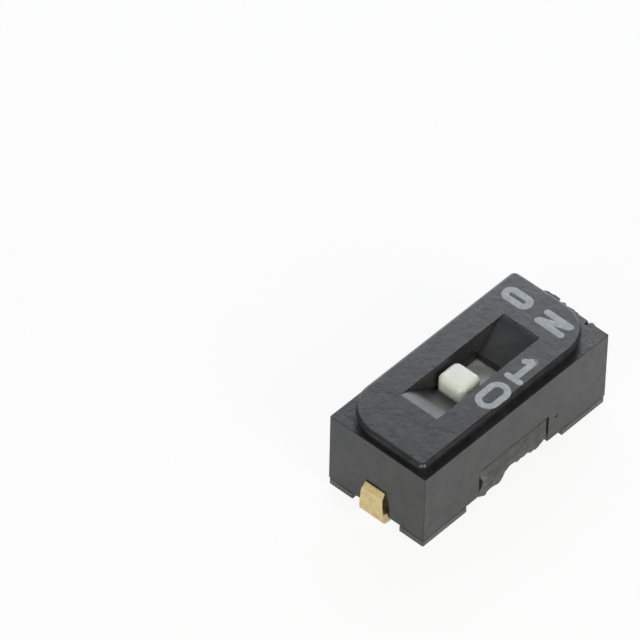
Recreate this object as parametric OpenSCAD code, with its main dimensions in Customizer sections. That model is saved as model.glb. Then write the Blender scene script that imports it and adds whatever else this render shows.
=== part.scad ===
// One-position slide switch for surface mounting, on a half-pitch (1.27 mm) grid.
// Millimetres. +Z is up, +Y points to the ON end, and the slider rests at the OFF end.
// The origin is at the middle of the footprint, in the plane of the solder faces.

/* [Housing] */
// Length of the housing, along the slider's travel
body_l = 5.4; // [5.2:0.1:5.8]
// Width of the housing
body_w = 2.5; // [2.4:0.1:2.8]
// Height from the solder faces to the raised top
body_h = 2.2; // [2.2:0.05:2.4]
// Height of the raised top over the ledge around it
top_h = 0.26; // [0.16:0.02:0.3]
// Width of the ledge along the two sides of the raised top
ledge_w = 0.115; // [0.06:0.005:0.14]
// Width of the ledge at the two ends of the raised top
end_ledge_w = 0.09; // [0.06:0.005:0.14]
// How far the raised top sits towards the OFF end
top_back = 0.04; // [0:0.01:0.05]
// Radius of the two wide corners of the raised top, in plan
wide_corner_r = 0.9; // [0.4:0.1:1]
// Radius of the two narrow corners of the raised top, in plan
narrow_corner_r = 0.12; // [0.1:0.01:0.3]
// Rounding of the raised top's upper edge
top_edge_r = 0.05; // [0.03:0.005:0.08]
// How far the sides of the raised top lean in, under their upper edge
top_lean = 0.03; // [0:0.005:0.04]
// Thickness of the side walls
side_wall = 0.35; // [0.3:0.05:0.4]
// Thickness of the end walls
end_wall = 0.4; // [0.35:0.05:0.5]

/* [Recess] */
// Length of the finger recess at the top
recess_l = 3.26; // [3.16:0.02:3.3]
// Width of the finger recess at the top
recess_w = 0.96; // [0.92:0.02:1]
// Length of the window at the recess floor
window_l = 1.29; // [1.26:0.01:1.32]
// Width of the window at the recess floor
window_w = 0.78; // [0.76:0.01:0.82]
// Angle of the two slopes under their rounded upper edges
slope_angle = 28; // [26:1:29]
// Radius of the slopes' rounded upper edges
slope_r = 1; // [0.8:0.05:1.1]

/* [Slider] */
// Travel from OFF to ON
travel = 0.6; // [0.5:0.02:0.64]
// Width of the knob
knob_w = 0.7; // [0.6:0.02:0.72]
// Length of the knob along the travel
knob_l = 0.62; // [0.5:0.01:0.63]
// How far the knob's top lies under the raised top
knob_drop = 0.06; // [0.04:0.02:0.12]
// Rounding of the knob's corners and upper edges
knob_r = 0.14; // [0.06:0.01:0.16]

/* [Terminals] */
// Thickness of the terminal strip
lead_t = 0.15; // [0.12:0.01:0.16]
// Width of the terminal inside the housing and down to its shoulder
neck_w = 0.5; // [0.4:0.02:0.56]
// Width of the terminal below its shoulder
blade_w = 0.66; // [0.6:0.02:0.72]
// How far the outer face of a terminal stands off the housing's end
lead_out = 0.11; // [0.1:0.01:0.2]
// Length of the flat solder face under each end
solder_l = 0.39; // [0.3:0.01:0.45]

/* [Hidden] */
$fn = 48;
eps = 0.01;

// Heights above the solder faces
foot_z = 0.03;
seam_z = 0.2;
pad_top_z = 0.845;
ledge_z = body_h - top_h;
lip_t = 0.17;
lip_z = body_h - tan(slope_angle)
        * ((recess_l - window_l) / 2 - slope_r * tan(slope_angle / 2));
ceiling_z = lip_z - lip_t;
channel_z = 1.1;
notch_top_z = pad_top_z + 0.025;
notch_step_z = 0.72;
tab_top_z = 0.875;

// Half sizes of the housing, its cavity and the slider's channel
half_l = body_l / 2;
half_w = body_w / 2;
cavity_x = half_w - side_wall;
cavity_y = half_l - end_wall;
plate_x = 0.62;
plate_y = window_l / 2 + travel / 2 + 0.17;
channel_x = plate_x + 0.04;
channel_y = plate_y + travel / 2 + 0.06;

// Notches, tabs and feet
end_notch_x = 0.37;
foot_gap_x = 0.62;
foot_gap_depth = 0.8;
foot_gap_y = 1.417;
tab_y = 1;
tab_back_y = 0.055;
tab_gap = 0.045;
tab_inset = 0.025;
fit_gap = 0.02;
tongue_back = 0.08;

// Slider, seen from the top down
plate_top_z = ceiling_z - fit_gap;
plate_low_z = 1.31;
knob_top_z = body_h - knob_drop;
cheek_w = 0.16;
cheek_h = 0.32;
cheek_y = 0.95;
post_r = 0.11;
post_head_r = 0.18;
post_head_h = 0.07;

// Moving contact
contact_t = 0.07;
finger_slot = 0.08;
contact_plate_y = 0.36;
contact_point_y = 0.62;
contact_gap = 0.01;

// Inner ends of the two fixed pads, measured from the middle of the housing
off_pad_end = 0.12;
on_pad_end = 0.55;

// Burr left along the far upper edge: place along X, height over the ledge
burr = [[-0.5, 0], [-0.44, 0.1], [-0.39, 0.125], [-0.32, 0.11], [-0.24, 0.137], [-0.1, 0.125],
        [-0.07, 0.018], [-0.02, 0.042], [0.06, 0.092], [0.085, 0.075], [0.11, 0.01], [0.18, 0.05],
        [0.32, 0.062], [0.35, 0.036], [0.41, 0.047], [0.47, 0.01], [0.69, 0.006], [0.7, 0]];
burr_tooth = [[0.77, 0], [0.82, 0.05], [0.86, 0.018], [0.9, 0]];
burr_t = 0.035;
nick_x = 0.735;
nick_w = 0.07;
nick_depth = 0.09;

// Torn lower edge of a side tab, where it was broken off: place along Y, height over the feet
torn_edge = [[-0.99, 0.12], [-0.94, 0.085], [-0.78, 0], [-0.74, 0.06], [-0.66, 0.09],
             [-0.55, 0.085], [-0.44, 0.05], [-0.35, 0.07], [-0.26, 0.14], [-0.2, 0.23],
             [-0.12, 0.285], [0, 0.3], [0.08, 0.29], [0.13, 0.25], [0.2, 0.245],
             [0.25, 0.275], [0.35, 0.245], [0.46, 0.25], [0.62, 0.21], [0.78, 0.165],
             [0.84, 0.21], [0.93, 0.25], [1, 0.29]];
// Its worn side next to the OFF end: the same two measures, from the bottom up
worn_side = [[-1, 0.22], [-0.94, 0.29], [-0.87, 0.38], [-0.87, 0.47], [-0.91, 0.56], [-0.99, 0.66]];

// Both ends, the second turned half round
module both_ends() {
    children();
    rotate([0, 0, 180]) children();
}

// A block centred in X and Y, between two heights
module block(x, y, z_low, z_high) {
    translate([-x / 2, -y / 2, z_low]) cube([x, y, z_high - z_low]);
}

// A profile drawn in the Y-Z plane and given a width along X
module across(width) {
    translate([-width / 2, 0, 0])
        rotate([90, 0, 90])
            linear_extrude(width) children();
}

// Sheet metal seen on edge: a strip of thickness t along points, with round bends
module strip(points, t) {
    for (i = [0 : len(points) - 2]) {
        a = points[i];
        b = points[i + 1];
        translate(a)
            rotate(atan2(b[1] - a[1], b[0] - a[0]))
                translate([0, -t / 2]) square([norm(b - a), t]);
    }
    for (i = [1 : len(points) - 2]) translate(points[i]) circle(t / 2);
}

// A disc whose upper edge is rounded, for one corner of the raised top
module domed_corner(r, h) {
    rotate_extrude($fn = 32) intersection() {
        union() {
            polygon([[0, 0], [r - top_lean, 0], [r, h - top_edge_r], [0, h - top_edge_r]]);
            square([r - top_edge_r, h]);
            translate([r - top_edge_r, h - top_edge_r]) circle(top_edge_r, $fn = 24);
        }
        square([r, h]);
    }
}

// The raised top: two opposite corners are wide, the other two are narrow
module raised_top() {
    h = top_h + 0.1;
    x = half_w - ledge_w;
    y = half_l - end_ledge_w;
    translate([0, -top_back, ledge_z - 0.1]) hull() both_ends() {
        translate([x - wide_corner_r, y - wide_corner_r, 0]) domed_corner(wide_corner_r, h);
        translate([x - narrow_corner_r, narrow_corner_r - y, 0]) domed_corner(narrow_corner_r, h);
    }
}

// The finger recess with its sloping ends, rounded at the top, and the window under it
module finger_recess() {
    over = 0.1;
    steps = 12;
    half = recess_l / 2;
    slope = [for (i = [0 : steps]) let (a = slope_angle * i / steps)
             [half - slope_r * sin(a), body_h - slope_r * (1 - cos(a))]];
    side = concat([[half, body_h + over]], slope, [[window_l / 2, lip_z - eps]]);
    other = [for (i = [len(side) - 1 : -1 : 0]) [-side[i][0], side[i][1]]];
    flare = (recess_w - window_w) / 2 / (body_h - lip_z);
    intersection() {
        across(2 * recess_w) polygon(concat(side, other));
        // The side walls lean outwards as they rise
        rotate([90, 0, 0]) linear_extrude(recess_l + 1, center = true)
            polygon([[-window_w / 2, lip_z], [window_w / 2, lip_z],
                     [recess_w / 2 + flare * over, body_h + over],
                     [-recess_w / 2 - flare * over, body_h + over]]);
    }
    block(window_w, window_l, ceiling_z - eps, lip_z);
}

// The notch for a terminal: wide beside the blade, narrow round the neck
module end_notch() {
    translate([0, body_l, 0]) rotate([90, 0, 0]) linear_extrude(2 * body_l)
        polygon([[-end_notch_x, seam_z - 1], [end_notch_x, seam_z - 1],
                 [end_notch_x, notch_step_z], [neck_w / 2 + fit_gap, notch_top_z],
                 [-neck_w / 2 - fit_gap, notch_top_z], [-end_notch_x, notch_step_z]]);
}

// The burr's outline standing on the ledge at the ON end
module burr_strip(points) {
    translate([0, half_l, ledge_z - eps]) rotate([90, 0, 0]) linear_extrude(burr_t)
        polygon(concat([for (p = points) [p[0], p[1] + eps]],
                       [[points[len(points) - 1][0], 0], [points[0][0], 0]]));
}

module cover() {
    color([0.16, 0.165, 0.175]) {
        difference() {
            union() {
                block(body_w, body_l, seam_z, ledge_z);
                raised_top();
            }
            finger_recess();
            // Channel that guides the slider
            block(2 * channel_x, 2 * channel_y, channel_z - eps, ceiling_z);
            // Cavity that takes the base
            block(2 * cavity_x, 2 * cavity_y, seam_z - 1, channel_z);
            end_notch();
            // Notches for the side tabs of the base
            both_ends() translate([0, -tab_back_y - tab_y - tab_gap, seam_z - 1])
                cube([body_w, 2 * (tab_y + tab_gap), tab_top_z + tab_gap - seam_z + 1]);
            // Nick in the far upper edge
            translate([nick_x, half_l, ledge_z]) rotate([90, 0, 0]) linear_extrude(ledge_w)
                polygon([[-nick_w / 2, eps], [nick_w / 2, eps], [0, -nick_depth]]);
        }
        burr_strip(burr);
        burr_strip(burr_tooth);
    }
}

// A side tab of the base, with its torn lower edge
module side_tab() {
    root_x = cavity_x - fit_gap - 0.1;
    top = tab_top_z - foot_z;
    up_side = [for (i = [len(worn_side) - 1 : -1 : 0]) worn_side[i]];
    translate([root_x, -tab_back_y, foot_z]) rotate([90, 0, 90])
        linear_extrude(half_w - tab_inset - root_x)
            polygon(concat(torn_edge, [[tab_y, top], [-tab_y, top]], up_side));
}

module base() {
    block_x = 2 * (cavity_x - fit_gap);
    block_y = 2 * (cavity_y - fit_gap);
    pad_low_z = pad_top_z - lead_t;
    tongue_y = body_l - 2 * tongue_back;
    color([0.2, 0.19, 0.185]) difference() {
        union() {
            // Plate that carries the four feet
            block(body_w, body_l, foot_z, seam_z);
            // Block that closes the cavity
            block(block_x, block_y, seam_z - eps, pad_top_z);
            // Tongues under the terminals
            block(2 * (end_notch_x - fit_gap), tongue_y, seam_z - eps, pad_low_z);
        }
        // Gaps between the feet at the two ends, for the hooked terminals
        both_ends() translate([-foot_gap_x, half_l - foot_gap_depth, -1])
            cube([2 * foot_gap_x, foot_gap_depth + 1, 1 + seam_z]);
        // Gaps between the feet along the two sides
        both_ends() translate([cavity_x, -foot_gap_y, -1])
            cube([side_wall + 1, 2 * foot_gap_y, 1 + seam_z]);
        // Seats of the two fixed pads
        translate([-neck_w / 2, -half_l, pad_low_z]) cube([neck_w, half_l - off_pad_end, 1]);
        translate([-neck_w / 2, on_pad_end, pad_low_z]) cube([neck_w, half_l - on_pad_end, 1]);
    }
    color([0.2, 0.19, 0.185]) both_ends() side_tab();
}

// The knob, round at its upright corners and upper edges
module knob() {
    x = knob_w / 2 - knob_r;
    y = knob_l / 2 - knob_r;
    hull() for (i = [-x, x], j = [-y, y]) translate([i, j, 0]) {
        translate([0, 0, plate_top_z - 0.05]) cylinder(r = knob_r, h = 0.1, $fn = 32);
        translate([0, 0, knob_top_z - knob_r]) sphere(knob_r, $fn = 32);
    }
}

module slider() {
    post_z = plate_low_z - contact_t;
    color([0.88, 0.89, 0.84]) translate([0, -travel / 2, 0]) {
        knob();
        // Plate that slides under the window
        block(2 * plate_x, 2 * plate_y, plate_low_z, plate_top_z);
        // Cheeks at both sides of the moving contact
        for (s = [-1, 1]) translate([s * (plate_x - cheek_w / 2), 0, 0])
            block(cheek_w, 2 * cheek_y, plate_low_z - cheek_h, plate_low_z + eps);
        // Post that holds the contact, with its flattened head
        translate([0, 0, post_z - eps]) cylinder(r = post_r, h = contact_t + 2 * eps);
        translate([0, 0, post_z - post_head_h]) cylinder(r = post_head_r, h = post_head_h);
    }
}

// The moving contact: a leaf on the slider's post, with two fingers at each end
module moving_contact() {
    mid_z = plate_low_z - contact_t / 2;
    point_z = pad_top_z + contact_gap + contact_t / 2;
    arm = [[0, mid_z], [contact_plate_y, mid_z], [contact_point_y, point_z],
           [contact_point_y + 0.14, point_z + 0.09]];
    color([0.85, 0.68, 0.38]) translate([0, -travel / 2, 0]) difference() {
        union() {
            across(neck_w) strip(arm, contact_t);
            rotate([0, 0, 180]) across(neck_w) strip(arm, contact_t);
        }
        translate([0, 0, mid_z - 0.5]) cylinder(r = post_r + fit_gap / 2, h = 1);
        both_ends() translate([-finger_slot / 2, contact_plate_y, 0])
            cube([finger_slot, 1, mid_z - contact_t / 2 - eps]);
    }
}

// A terminal: a flat pad inside, then a hook down the housing's end and under it
module terminal(pad_end) {
    t = lead_t;
    pad_z = pad_top_z - t / 2;
    lead_y = half_l + lead_out - t / 2;
    shoulder_z = 0.58;
    tuck_y = lead_y - 0.045;
    color([0.83, 0.7, 0.42]) {
        across(neck_w) strip([[pad_end, pad_z], [half_l + 0.01, pad_z], [lead_y, shoulder_z],
                              [lead_y, shoulder_z - 0.1]], t);
        across(blade_w) strip([[lead_y, shoulder_z], [lead_y, t / 2 + 0.045], [tuck_y, t / 2],
                               [tuck_y - solder_l, t / 2]], t);
    }
}

module on_end_terminal() { terminal(on_pad_end); }

module off_end_terminal() { rotate([0, 0, 180]) terminal(off_pad_end); }

cover();
base();
slider();
moving_contact();
off_end_terminal();
on_end_terminal();
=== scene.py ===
# %% [markdown]
# One-position slide switch, the surface-mount kind that is about as long as a grain of rice.
# The frame holds six solids at their real size: a black cover, a base under it, a white slider,
# the leaf contact that it carries, and two hooked terminals. This file gives them their looks.
# Nothing here moves or resizes the frame: each new piece is built around it, from its own sizes.

import math

import bmesh
import bpy
from mathutils import Matrix, Vector


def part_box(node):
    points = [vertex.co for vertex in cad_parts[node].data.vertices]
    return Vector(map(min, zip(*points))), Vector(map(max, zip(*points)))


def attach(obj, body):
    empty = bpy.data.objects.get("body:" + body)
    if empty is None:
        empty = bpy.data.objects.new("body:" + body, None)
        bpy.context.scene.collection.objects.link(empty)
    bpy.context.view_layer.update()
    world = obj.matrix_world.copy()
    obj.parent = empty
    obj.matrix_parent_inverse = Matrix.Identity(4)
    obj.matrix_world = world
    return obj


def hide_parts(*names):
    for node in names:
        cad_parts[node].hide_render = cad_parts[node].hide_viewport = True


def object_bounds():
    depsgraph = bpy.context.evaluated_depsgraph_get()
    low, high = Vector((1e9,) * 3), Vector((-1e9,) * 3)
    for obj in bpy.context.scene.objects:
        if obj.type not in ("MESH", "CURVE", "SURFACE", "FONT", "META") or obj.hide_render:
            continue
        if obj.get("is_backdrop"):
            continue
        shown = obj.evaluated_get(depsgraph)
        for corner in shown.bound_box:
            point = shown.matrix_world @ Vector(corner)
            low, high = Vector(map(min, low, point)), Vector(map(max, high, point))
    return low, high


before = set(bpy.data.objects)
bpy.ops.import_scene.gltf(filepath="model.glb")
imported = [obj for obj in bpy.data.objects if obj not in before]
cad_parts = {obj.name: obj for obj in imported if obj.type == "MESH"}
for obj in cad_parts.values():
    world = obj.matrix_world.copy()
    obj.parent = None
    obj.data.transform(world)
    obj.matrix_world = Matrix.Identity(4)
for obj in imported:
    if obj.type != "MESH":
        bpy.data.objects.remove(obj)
cad_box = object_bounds()

# %% [markdown]
# A switch this small is awkward to model in metres: merge distances and bevel limits are made for
# things that fit a hand. So the pieces are modelled with one unit as a millimetre, and shrunk when
# they are finished. The outer sizes are read from the frame, and the rest are written here once.

# %% Sizes in millimetres
MM = 0.001


def node_box(name):
    """Lowest and highest corner of a node of the frame, in millimetres."""
    low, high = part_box(name)
    return low / MM, high / MM


cover_low, cover_high = node_box("cover")
base_low, base_high = node_box("base")
slider_low, slider_high = node_box("slider")
HALF_W, HALF_L, TOP_Z = cover_high.x, cover_high.y, cover_high.z
SEAM_Z, FOOT_Z, TAB_TOP = cover_low.z, base_low.z, base_high.z
LEDGE_DROP, LIP_T, INK_T = 0.26, 0.17, 0.006
LEDGE_Z, FACE_Z = TOP_Z - LEDGE_DROP, TOP_Z - INK_T
SIDE_WALL, END_WALL = 0.35, 0.4
RECESS_W, RECESS_L, WINDOW_W, WINDOW_L = 0.96, 3.26, 0.78, 1.29
SLOPE_ANGLE, SLOPE_R = math.radians(28), 1.0
PAD_TOP, STRIP_T = 0.845, 0.15
straight_run = (RECESS_L - WINDOW_L) / 2 - SLOPE_R * math.tan(SLOPE_ANGLE / 2)
LIP_Z = TOP_Z - math.tan(SLOPE_ANGLE) * straight_run
CEILING_Z = LIP_Z - LIP_T
print(f"housing {2 * HALF_W:.2f} x {2 * HALF_L:.2f} mm, top at {TOP_Z:.2f}, lip at {LIP_Z:.3f} mm")

# %% [markdown]
# The camera repeats the photograph's view: far away with a long lens, 46 degrees up, and turned
# 42 degrees from the switch's end. Its angles come from the corners of the housing in the picture.
# The switch sits low and right of the middle, so the camera is slid sideways, with no lens shift.

# %% Camera
VIEW_TURN = math.radians(41.81)
VIEW_RISE = math.radians(45.876)
VIEW_ROLL = math.radians(1.176)
VIEW_DISTANCE = 130.0
VIEW_SLIDE = (2.9265, -1.7102)
VIEW_AIM = Vector((0, 0, 1.03))
LENS, SENSOR = 372.0, 36.0


def add_camera():
    """Puts the camera at the photograph's place and returns it."""
    flat = math.cos(VIEW_RISE)
    back = Vector((math.sin(VIEW_TURN) * flat, -math.cos(VIEW_TURN) * flat, math.sin(VIEW_RISE)))
    right = Vector((math.cos(VIEW_TURN), math.sin(VIEW_TURN), 0))
    up = back.cross(right)
    across = right * math.cos(VIEW_ROLL) + up * math.sin(VIEW_ROLL)
    upward = up * math.cos(VIEW_ROLL) - right * math.sin(VIEW_ROLL)
    eye = VIEW_AIM + back * VIEW_DISTANCE - across * VIEW_SLIDE[0] - upward * VIEW_SLIDE[1]
    camera = bpy.data.objects.new("camera", bpy.data.cameras.new("camera"))
    bpy.context.scene.collection.objects.link(camera)
    columns = (across, upward, back, eye * MM)
    camera.matrix_world = Matrix([[c[i] for c in columns] for i in range(3)] + [[0, 0, 0, 1]])
    camera.data.lens = LENS
    camera.data.sensor_width = SENSOR
    camera.data.clip_start = 0.002
    camera.data.clip_end = 2.0
    return camera


bpy.context.scene.camera = add_camera()
print("camera", round(VIEW_DISTANCE), "mm away")

# %% [markdown]
# Black satin plastic is drawn by what it mirrors. A wide, bluish softbox with a dimmer skirt stands
# low behind the switch. The raised top mirrors its upper edge. The near slope leans towards it, so
# it shines where it starts to dip and fades further down, where it mirrors the skirt. The far
# slope, which leans away, mirrors only a weak box on the left. Smaller boxes to the right and in
# front light the white slider. Above the camera the studio stays dim, so that edges towards the
# camera stay black, and the upright walls mirror the white paper.

# %% World and softboxes
scene = bpy.context.scene
scene.view_settings.view_transform = "Standard"
TENT_GREY, SOFTBOX_AWAY = 0.16, 50


def add_tent():
    """A plain grey surround that the camera itself sees as white."""
    world = bpy.data.worlds.new("tent")
    scene.world = world
    world.use_nodes = True
    tree = world.node_tree
    tree.nodes.clear()
    grey = tree.nodes.new("ShaderNodeBackground")
    grey.inputs["Color"].default_value = (1, 1, 1, 1)
    grey.inputs["Strength"].default_value = TENT_GREY
    white = tree.nodes.new("ShaderNodeBackground")
    white.inputs["Color"].default_value = (1, 1, 1, 1)
    path = tree.nodes.new("ShaderNodeLightPath")
    mix = tree.nodes.new("ShaderNodeMixShader")
    out = tree.nodes.new("ShaderNodeOutputWorld")
    tree.links.new(path.outputs["Is Camera Ray"], mix.inputs[0])
    tree.links.new(grey.outputs[0], mix.inputs[1])
    tree.links.new(white.outputs[0], mix.inputs[2])
    tree.links.new(mix.outputs[0], out.inputs[0])


def add_softbox(name, bearing, rise, size, strength, color):
    """A rectangular lamp at a bearing from +Y towards +X and a height, both in degrees."""
    lamp = bpy.data.lights.new(name, "AREA")
    lamp.shape = "RECTANGLE"
    lamp.size, lamp.size_y = size[0] * MM, size[1] * MM
    lamp.energy = strength * math.pi * lamp.size * lamp.size_y
    lamp.color = color
    holder = bpy.data.objects.new(name, lamp)
    scene.collection.objects.link(holder)
    across, up = math.radians(bearing), math.radians(rise)
    flat = math.cos(up)
    toward = Vector((math.sin(across) * flat, math.cos(across) * flat, math.sin(up)))
    holder.location = toward * SOFTBOX_AWAY * MM
    holder.rotation_euler = toward.to_track_quat("Z", "Y").to_euler()


add_tent()
add_softbox("back_box", 321, 36.2, (58, 13.5), 5.0, (0.9, 0.93, 1.0))
add_softbox("back_box_skirt", 321, 15, (58, 25), 2.0, (0.9, 0.95, 1.0))
add_softbox("side_box", 98, 25, (28, 34), 6.0, (1.0, 0.99, 0.94))
add_softbox("front_box", 165, 30, (28, 28), 4.8, (0.98, 1.0, 0.93))
add_softbox("left_box", 242, 55, (32, 28), 0.5, (0.95, 0.98, 1.0))

# %% [markdown]
# The floor is a sheet of matt white paper that keeps the shadow under the switch. The camera sees
# it brighter than it is lit, and so, about half as much, do the mirror images in plastic and gold,
# because the real sheet is burnt out to white. The light that it throws on the switch stays plain.

# %% Paper floor
PAPER_W = 400
SEEN_WHITE, MIRRORED_WHITE = 0.88, 0.52


def add_paper():
    """A wide sheet that is white to the camera."""
    bpy.ops.object.select_all(action="DESELECT")
    bpy.ops.mesh.primitive_plane_add(size=PAPER_W * MM, location=(0, 0, 0))
    sheet = bpy.context.object
    sheet.name = "paper"
    paper = bpy.data.materials.new("white_paper")
    paper.use_nodes = True
    tree = paper.node_tree
    tree.nodes.clear()
    matt = tree.nodes.new("ShaderNodeBsdfDiffuse")
    matt.inputs["Color"].default_value = (0.84, 0.84, 0.83, 1)
    glow = tree.nodes.new("ShaderNodeEmission")
    path = tree.nodes.new("ShaderNodeLightPath")
    seen = tree.nodes.new("ShaderNodeMath")
    seen.operation = "MULTIPLY"
    seen.inputs[1].default_value = SEEN_WHITE
    mirrored = tree.nodes.new("ShaderNodeMath")
    mirrored.operation = "MULTIPLY_ADD"
    mirrored.inputs[1].default_value = MIRRORED_WHITE
    mix = tree.nodes.new("ShaderNodeMixShader")
    out = tree.nodes.new("ShaderNodeOutputMaterial")
    tree.links.new(path.outputs["Is Camera Ray"], seen.inputs[0])
    tree.links.new(path.outputs["Is Glossy Ray"], mirrored.inputs[0])
    tree.links.new(seen.outputs[0], mirrored.inputs[2])
    tree.links.new(mirrored.outputs[0], mix.inputs[0])
    tree.links.new(matt.outputs[0], mix.inputs[1])
    tree.links.new(glow.outputs[0], mix.inputs[2])
    tree.links.new(mix.outputs[0], out.inputs[0])
    sheet.data.materials.append(paper)
    sheet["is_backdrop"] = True


add_paper()
print("paper", PAPER_W, "mm wide")

# %% [markdown]
# Every piece is made with the same few moves of the hand. A block is added at its size and place,
# or an outline is traced point by point and filled. Edges and faces are picked by where they lie,
# then bevelled, extruded or moved, and openings are cut with a second shape, which reaches well
# past the piece wherever it comes out into the open. These helpers hold those moves, so that each
# later cell can show only what is special about its piece.

# %% Helpers: blocks, outlines and picks
def block(name, low, high):
    """A cube stretched between two corners, in edit mode, with everything selected."""
    bpy.ops.object.select_all(action="DESELECT")
    low, high = Vector(low), Vector(high)
    bpy.ops.mesh.primitive_cube_add(size=1, location=(low + high) / 2, scale=high - low)
    bpy.ops.object.transform_apply()
    bpy.context.object.name = name
    bpy.ops.object.mode_set(mode="EDIT")


def traced(name, points, thickness):
    """An outline drawn point by point with the extrude tool, filled, and given a thickness."""
    bpy.ops.object.select_all(action="DESELECT")
    points = [Vector(point) for point in points]
    bpy.ops.mesh.primitive_plane_add(size=0.01, location=points[0])
    bpy.ops.object.transform_apply()
    bpy.context.object.name = name
    bpy.ops.object.mode_set(mode="EDIT")
    bpy.ops.mesh.select_mode(type="VERT")
    bpy.ops.mesh.merge(type="CENTER")
    for here, there in zip(points, points[1:]):
        bpy.ops.mesh.extrude_vertices_move(TRANSFORM_OT_translate={"value": there - here})
    bpy.ops.mesh.select_all(action="SELECT")
    bpy.ops.mesh.edge_face_add()
    bpy.ops.mesh.extrude_region_move(TRANSFORM_OT_translate={"value": thickness})
    bpy.ops.mesh.select_all(action="SELECT")
    bpy.ops.mesh.normals_make_consistent(inside=False)
    return bpy.context.object


def pick(kind, inside):
    """Selects the edges or faces that lie wholly where the test says, and counts them."""
    bpy.ops.mesh.select_mode(type=kind)
    bpy.ops.mesh.select_all(action="DESELECT")
    mesh = bmesh.from_edit_mesh(bpy.context.object.data)
    found = 0
    for part in {"EDGE": mesh.edges, "FACE": mesh.faces}[kind]:
        if all(inside(corner.co) for corner in part.verts):
            part.select_set(True)
            found += 1
    mesh.select_flush_mode()
    bmesh.update_edit_mesh(bpy.context.object.data)
    return found


def near(a, b, room=0.002):
    """Whether two sizes are the same within a hair."""
    return abs(a - b) < room


def round_off(inside, width, steps):
    """Bevels the edges that lie where the test says, and says how many they were."""
    found = pick("EDGE", inside)
    bpy.ops.mesh.bevel(offset=width, offset_type="OFFSET", segments=steps, affect="EDGES")
    return found


def push(value):
    """Extrudes what is selected along a vector."""
    bpy.ops.mesh.extrude_region_move(TRANSFORM_OT_translate={"value": value})


# %% [markdown]
# Boolean cuts leave long, thin faces, and smooth shading would smear light across them. Two things
# keep the flats flat: edges under 35 degrees are smoothed and all others stay sharp, and a
# Weighted Normal modifier lets the large faces decide which way the surface seems to point.

# %% Helpers: cutting, joining and finishing
FLAT_WEIGHT = 80


def shape_done():
    """Leaves edit mode and returns the piece."""
    bpy.ops.object.mode_set(mode="OBJECT")
    return bpy.context.object


def only(piece):
    """Selects one piece and nothing else."""
    bpy.ops.object.select_all(action="DESELECT")
    bpy.context.view_layer.objects.active = piece
    piece.select_set(True)


def boolean(piece, tool, operation):
    """Cuts a piece with a tool, or joins the two, and throws the tool away."""
    only(piece)
    bpy.ops.object.modifier_add(type="BOOLEAN")
    cut = piece.modifiers[-1]
    cut.operation = operation
    cut.solver = "EXACT"
    cut.object = tool
    bpy.ops.object.modifier_apply(modifier=cut.name)
    bpy.data.objects.remove(tool)
    return piece


def join(piece, *others):
    """Makes several shapes one piece."""
    only(piece)
    for other in others:
        other.select_set(True)
    bpy.ops.object.join()
    return piece


def copied(piece, name):
    """A copy with a mesh of its own."""
    twin = piece.copy()
    twin.data = piece.data.copy()
    twin.name = name
    scene.collection.objects.link(twin)
    return twin


def turned(piece, name):
    """A copy turned half round about the middle of the switch, for the other end or side."""
    twin = copied(piece, name)
    only(twin)
    twin.rotation_euler = (0, 0, math.pi)
    bpy.ops.object.transform_apply()
    return twin


def finish_piece(piece, material, body, slot, *nodes, angle=35):
    """Smooths a piece, gives it its finish, shrinks it to its real size and lets it ride."""
    only(piece)
    bpy.ops.object.shade_smooth_by_angle(angle=math.radians(angle))
    bpy.ops.object.modifier_add(type="WEIGHTED_NORMAL")
    piece.modifiers[-1].keep_sharp = True
    piece.modifiers[-1].weight = FLAT_WEIGHT
    bpy.ops.object.modifier_apply(modifier=piece.modifiers[-1].name)
    piece.data.materials.clear()
    piece.data.materials.append(material)
    piece.scale = (MM, MM, MM)
    bpy.ops.object.transform_apply()
    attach(piece, body)
    if nodes:
        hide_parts(*nodes)
    print(piece.name, len(piece.data.polygons), "faces")


# %% [markdown]
# No real surface has one flat colour. Each finish here is made in the same way: a noise mixes two
# close colours, a second noise changes the roughness, and noises of several sizes raise a grain
# in the bump. The patterns could be painted, but a picture would have to be unwrapped onto each
# piece. Noise in Object coordinates, which here are metres, needs no unwrapping and stays put.

# %% Helpers: shader nodes
def node(tree, kind, **inputs):
    """Adds a shader node and sets its sockets by name."""
    made = tree.nodes.new(kind)
    for name, value in inputs.items():
        made.inputs[name.replace("_", " ")].default_value = value
    return made


def clouds(tree, size, detail=3.0, stretch=(1, 1, 1)):
    """A noise whose patches are about `size` millimetres across."""
    place = node(tree, "ShaderNodeTexCoord")
    scale = node(tree, "ShaderNodeMapping")
    scale.inputs["Scale"].default_value = [s / (size * MM) for s in stretch]
    noise = node(tree, "ShaderNodeTexNoise", Scale=1.0, Detail=detail, Roughness=0.55)
    tree.links.new(place.outputs["Object"], scale.inputs["Vector"])
    tree.links.new(scale.outputs[0], noise.inputs["Vector"])
    return noise.outputs["Fac"]


def spread(tree, source, low, high, to_low, to_high):
    """Stretches the part of a pattern between two values over a new range."""
    ranged = node(tree, "ShaderNodeMapRange")
    for index, value in enumerate((low, high, to_low, to_high)):
        ranged.inputs[index + 1].default_value = value
    tree.links.new(source, ranged.inputs[0])
    return ranged.outputs[0]


def blend(tree, amount, low, high):
    """Mixes two colours, each written out or taken from another node."""
    mix = node(tree, "ShaderNodeMix")
    mix.data_type = "RGBA"
    tree.links.new(amount, mix.inputs["Factor"])
    for socket, color in ((6, low), (7, high)):
        if isinstance(color, tuple):
            mix.inputs[socket].default_value = (*color, 1)
        else:
            tree.links.new(color, mix.inputs[socket])
    return mix.outputs[2]


def fresh(name):
    """A new material, with its node tree and its main shader."""
    material = bpy.data.materials.new(name)
    material.use_nodes = True
    return material, material.node_tree, material.node_tree.nodes["Principled BSDF"]


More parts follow.
